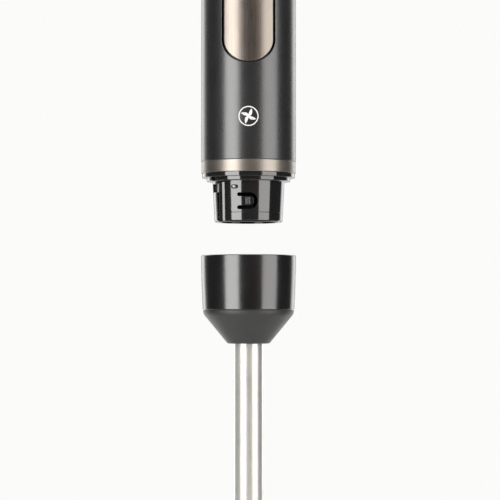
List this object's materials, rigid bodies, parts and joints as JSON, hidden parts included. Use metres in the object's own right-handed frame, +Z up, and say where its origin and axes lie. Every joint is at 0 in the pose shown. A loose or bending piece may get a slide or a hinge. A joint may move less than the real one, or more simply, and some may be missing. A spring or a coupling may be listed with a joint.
{
  "type": "immersion blender",
  "caption": "Immersion blender: slim cylindrical motor grip with a long trigger and bayonet spigot, and its blending leg pulled off.",
  "frame": {"origin": "on the main axis at the lower edge of the grip sleeve, where it meets the trim ring", "axes": "+Z up the handle to the cord inlet, -Y the front with the trigger, +X the right seen from the front"},
  "size_m": [0.064, 0.064, 0.4674],
  "materials": {
    "graphite_satin": "satin, very fine grain",
    "champagne_metal": "brushed, warm titanium tint",
    "black_gloss": "gloss",
    "black_matte": "fine texture",
    "inner_plastic": "moulded",
    "white_plastic": "moulded",
    "brushed_tube": "brushed along the tube",
    "bright_steel": "ground",
    "cast_bracket": "die cast",
    "laminated_steel": "stacked sheets",
    "copper_winding": "lacquered wire",
    "bronze_bush": "sintered",
    "black_rubber": "matte",
    "coupling_plastic": "glass filled",
    "carbon": "pressed carbon",
    "board_green": "solder mask",
    "component_blue": "dipped"
  },
  "bodies": {
    "motor_unit": {"grip_sleeve": "graphite_satin", "top_cap": "graphite_satin", "cap_screws": "bright_steel", "cord_grommet": "black_rubber", "cord_clamp": "inner_plastic", "clamp_screws": "bright_steel", "terminal_block": "white_plastic", "trim_ring": "champagne_metal", "spigot_housing": "black_gloss", "spigot_seal": "black_rubber", "interlock_switch": "inner_plastic", "chassis_front": "inner_plastic", "chassis_rear": "inner_plastic", "chassis_screws": "bright_steel", "lower_damper": "black_rubber", "upper_damper": "black_rubber", "lower_bracket": "cast_bracket", "upper_bracket": "cast_bracket", "motor_bearings": "bright_steel", "stator_core": "laminated_steel", "field_coils": "copper_winding", "motor_bolts": "bright_steel", "brush_holders": "inner_plastic", "carbon_brushes": "carbon", "brush_springs": "bright_steel", "control_board": "board_green", "triac_heat_sink": "cast_bracket", "suppression_capacitor": "component_blue", "choke_coil": "copper_winding", "trigger_switch": "inner_plastic", "trigger_pivot_pin": "bright_steel", "trigger_spring": "bright_steel"},
    "rotor": {"rotor_shaft": "bright_steel", "armature_core": "laminated_steel", "armature_winding": "copper_winding", "commutator": "copper_winding", "cooling_fan": "inner_plastic", "output_coupling": "coupling_plastic"},
    "trigger": {"trigger_cover": "champagne_metal", "trigger_lever": "black_matte"},
    "plunger": {"switch_plunger": "black_matte"},
    "interlock": {"interlock_pin": "white_plastic"},
    "leg_carrier": {"thrust_washer": "bright_steel"},
    "leg": {"leg_collar": "black_gloss", "leg_socket": "black_matte", "socket_screws": "bright_steel", "leg_cone": "black_matte", "tube_seal": "black_rubber", "shaft_tube": "brushed_tube", "tube_bushes": "white_plastic", "bell_hub": "black_matte", "bell_guard": "brushed_tube", "shaft_bushes": "bronze_bush", "lip_seal": "black_rubber"},
    "drive_line": {"driven_coupling": "coupling_plastic", "drive_shaft": "bright_steel", "shaft_clip": "bright_steel", "blade": "bright_steel", "blade_nut_and_collar": "bright_steel"}
  },
  "joints": [
    {"name": "trigger_press", "type": "hinge", "parent": "motor_unit", "child": "trigger", "pos_m": [0, -0.0196, 0.0605], "axis": [-1, 0, 0], "range_deg": [0, 2.5], "stiffness_Nm_per_rad": 2, "springref_deg": -3.44, "deforming": ["trigger_spring"]},
    {"name": "switch_travel", "type": "slide", "parent": "motor_unit", "child": "plunger", "axis": [0, 1, 0], "range_m": [0, 0.0018]},
    {"name": "motor_spin", "type": "hinge", "parent": "motor_unit", "child": "rotor", "pos_m": [0, 0, 0], "axis": [0, 0, 1], "continuous": true},
    {"name": "leg_pull_off", "type": "slide", "parent": "motor_unit", "child": "leg_carrier", "axis": [0, 0, 1], "range_m": [0, 0.0468]},
    {"name": "leg_twist", "type": "hinge", "parent": "leg_carrier", "child": "leg", "pos_m": [0, 0, 0], "axis": [0, 0, -1], "range_deg": [0, 20]},
    {"name": "blade_spin", "type": "hinge", "parent": "leg_carrier", "child": "drive_line", "pos_m": [0, 0, 0], "axis": [0, 0, 1], "continuous": true},
    {"name": "interlock_press", "type": "slide", "parent": "motor_unit", "child": "interlock", "axis": [0.3843, 0.9232, 0], "range_m": [0, 0.00125]}
  ],
  "couplings": [
    {"joint": "switch_travel", "follows": "trigger_press", "m_per_rad": 0.039},
    {"joint": "blade_spin", "follows": "motor_spin", "ratio": 1},
    {"joint": "interlock_press", "follows": "leg_twist", "m_per_rad": 0.003438}
  ]
}
